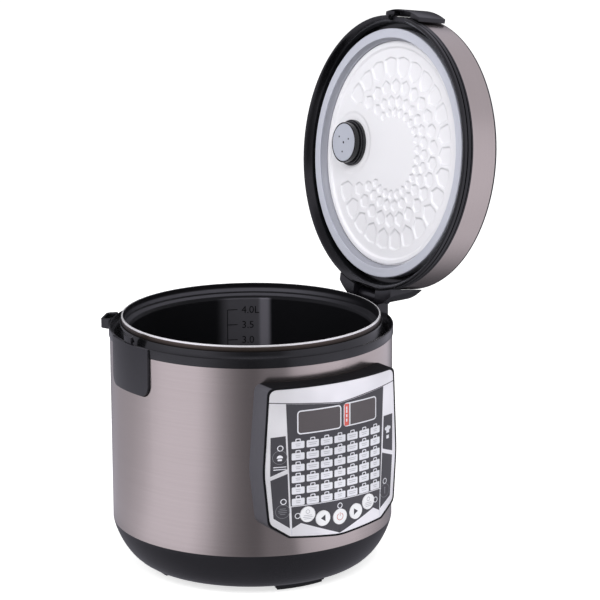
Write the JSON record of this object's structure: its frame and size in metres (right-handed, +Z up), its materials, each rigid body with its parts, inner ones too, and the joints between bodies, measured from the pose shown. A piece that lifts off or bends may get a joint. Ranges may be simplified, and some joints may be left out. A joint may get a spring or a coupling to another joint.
{
  "type": "electric multicooker",
  "caption": "Round countertop electric multicooker with a side-hinged lid standing open, a lift-out coated pot, a curved front control panel and a latch tab.",
  "frame": {"origin": "on the pot's axis, at the plane the feet stand on", "axes": "+Z up; +X towards the lid hinge; -X towards the release tab; -Y towards the control panel; +Y towards the back"},
  "size_m": [0.3172, 0.2639, 0.4795],
  "materials": {
    "black_plastic": "black ABS, fine satin grain",
    "gloss_black_plastic": "black ABS, polished",
    "champagne_steel": "warm brushed stainless steel, brushed along its length round the body",
    "bright_steel": "bright plated steel",
    "zinc_steel": "zinc-plated steel",
    "galvanised_sheet": "galvanised steel sheet",
    "heater_band": "woven glass-fibre heater band",
    "cast_aluminium": "cast and turned aluminium",
    "satin_aluminium": "pale anodised sheet, satin",
    "pale_plastic": "natural heat-proof plastic",
    "circuit_board": "green circuit board",
    "silver_overlay": "silver and dark grey printed overlay",
    "dark_window": "dark smoked display window",
    "lamp_lens": "clear lamp lens",
    "button_white": "pale silver-white button face",
    "pot_coating": "black non-stick coating on aluminium, bright turned rim",
    "grey_silicone": "blue-grey silicone",
    "valve_grey": "pale blue-grey plastic",
    "foot_rubber": "black rubber"
  },
  "bodies": {
    "cooker_body": {"base_housing": "black_plastic", "foot_blocks": "black_plastic", "foot_pads": "foot_rubber", "base_screws": "zinc_steel", "power_inlet": "black_plastic", "power_board": "circuit_board", "body_wrap": "champagne_steel", "top_ring": "gloss_black_plastic", "spoon_loop": "gloss_black_plastic", "hinge_housing": "black_plastic", "hinge_pin": "bright_steel", "hinge_screws": "zinc_steel", "inner_liner": "galvanised_sheet", "liner_floor": "galvanised_sheet", "side_heater": "heater_band", "heater_posts": "zinc_steel", "heating_plate": "cast_aluminium", "heating_element": "cast_aluminium", "sensor_holder": "pale_plastic", "sensor_spring": "zinc_steel", "thermal_fuse": "pale_plastic", "panel_bezel": "black_plastic", "panel_overlay": "silver_overlay", "mode_window": "dark_window", "time_window": "dark_window", "display_module": "pale_plastic", "control_board": "circuit_board", "indicator_lights": "lamp_lens", "latch_bracket": "zinc_steel", "latch_pin": "bright_steel", "latch_spring": "bright_steel"},
    "lid": {"lid_frame": "gloss_black_plastic", "lid_band": "champagne_steel", "lid_top": "black_plastic", "hinge_cover": "black_plastic", "latch_cover": "black_plastic", "latch_keeper": "black_plastic", "lid_pan": "galvanised_sheet", "inner_plate": "satin_aluminium", "lid_gasket": "grey_silicone", "steam_duct": "pale_plastic", "valve_base": "black_plastic", "valve_cap": "valve_grey", "vent_cap": "black_plastic"},
    "pot": {"inner_pot": "pot_coating"},
    "latch_lever": {"release_tab": "black_plastic", "latch_hook": "black_plastic"},
    "sensor": {"sensor_cap": "cast_aluminium"},
    "button_back": {"button_back": "button_white"},
    "button_minus": {"button_minus": "button_white"},
    "button_power": {"button_power": "button_white"},
    "button_plus": {"button_plus": "button_white"},
    "button_start": {"button_start": "button_white"}
  },
  "joints": [
    {"name": "lid_hinge", "type": "hinge", "parent": "cooker_body", "child": "lid", "pos_m": [0.1308, 0, 0.2218], "axis": [0, 1, 0], "range_deg": [-97.88, 0]},
    {"name": "pot_lift", "type": "slide", "parent": "cooker_body", "child": "pot", "axis": [0, 0, 1], "range_m": [0, 0.17]},
    {"name": "lid_release", "type": "hinge", "parent": "cooker_body", "child": "latch_lever", "pos_m": [-0.1178, 0, 0.199], "axis": [0, -1, 0], "range_deg": [0, 5], "stiffness_Nm_per_rad": 1.5, "springref_deg": -2.86, "deforming": ["latch_spring"]},
    {"name": "sensor_press", "type": "slide", "parent": "cooker_body", "child": "sensor", "axis": [0, 0, -1], "range_m": [0, 0.002], "stiffness_N_per_m": 400, "springref_m": -0.002, "deforming": ["sensor_spring"]},
    {"name": "press_back", "type": "slide", "parent": "cooker_body", "child": "button_back", "axis": [0.1789, 0.9839, 0], "range_m": [0, 0.0008], "stiffness_N_per_m": 800, "springref_m": -0.0005},
    {"name": "press_minus", "type": "slide", "parent": "cooker_body", "child": "button_minus", "axis": [0.0969, 0.9953, 0], "range_m": [0, 0.0008], "stiffness_N_per_m": 800, "springref_m": -0.0005},
    {"name": "press_power", "type": "slide", "parent": "cooker_body", "child": "button_power", "axis": [0, 1, 0], "range_m": [0, 0.0008], "stiffness_N_per_m": 800, "springref_m": -0.0005},
    {"name": "press_plus", "type": "slide", "parent": "cooker_body", "child": "button_plus", "axis": [-0.0969, 0.9953, 0], "range_m": [0, 0.0008], "stiffness_N_per_m": 800, "springref_m": -0.0005},
    {"name": "press_start", "type": "slide", "parent": "cooker_body", "child": "button_start", "axis": [-0.1789, 0.9839, 0], "range_m": [0, 0.0008], "stiffness_N_per_m": 800, "springref_m": -0.0005}
  ]
}
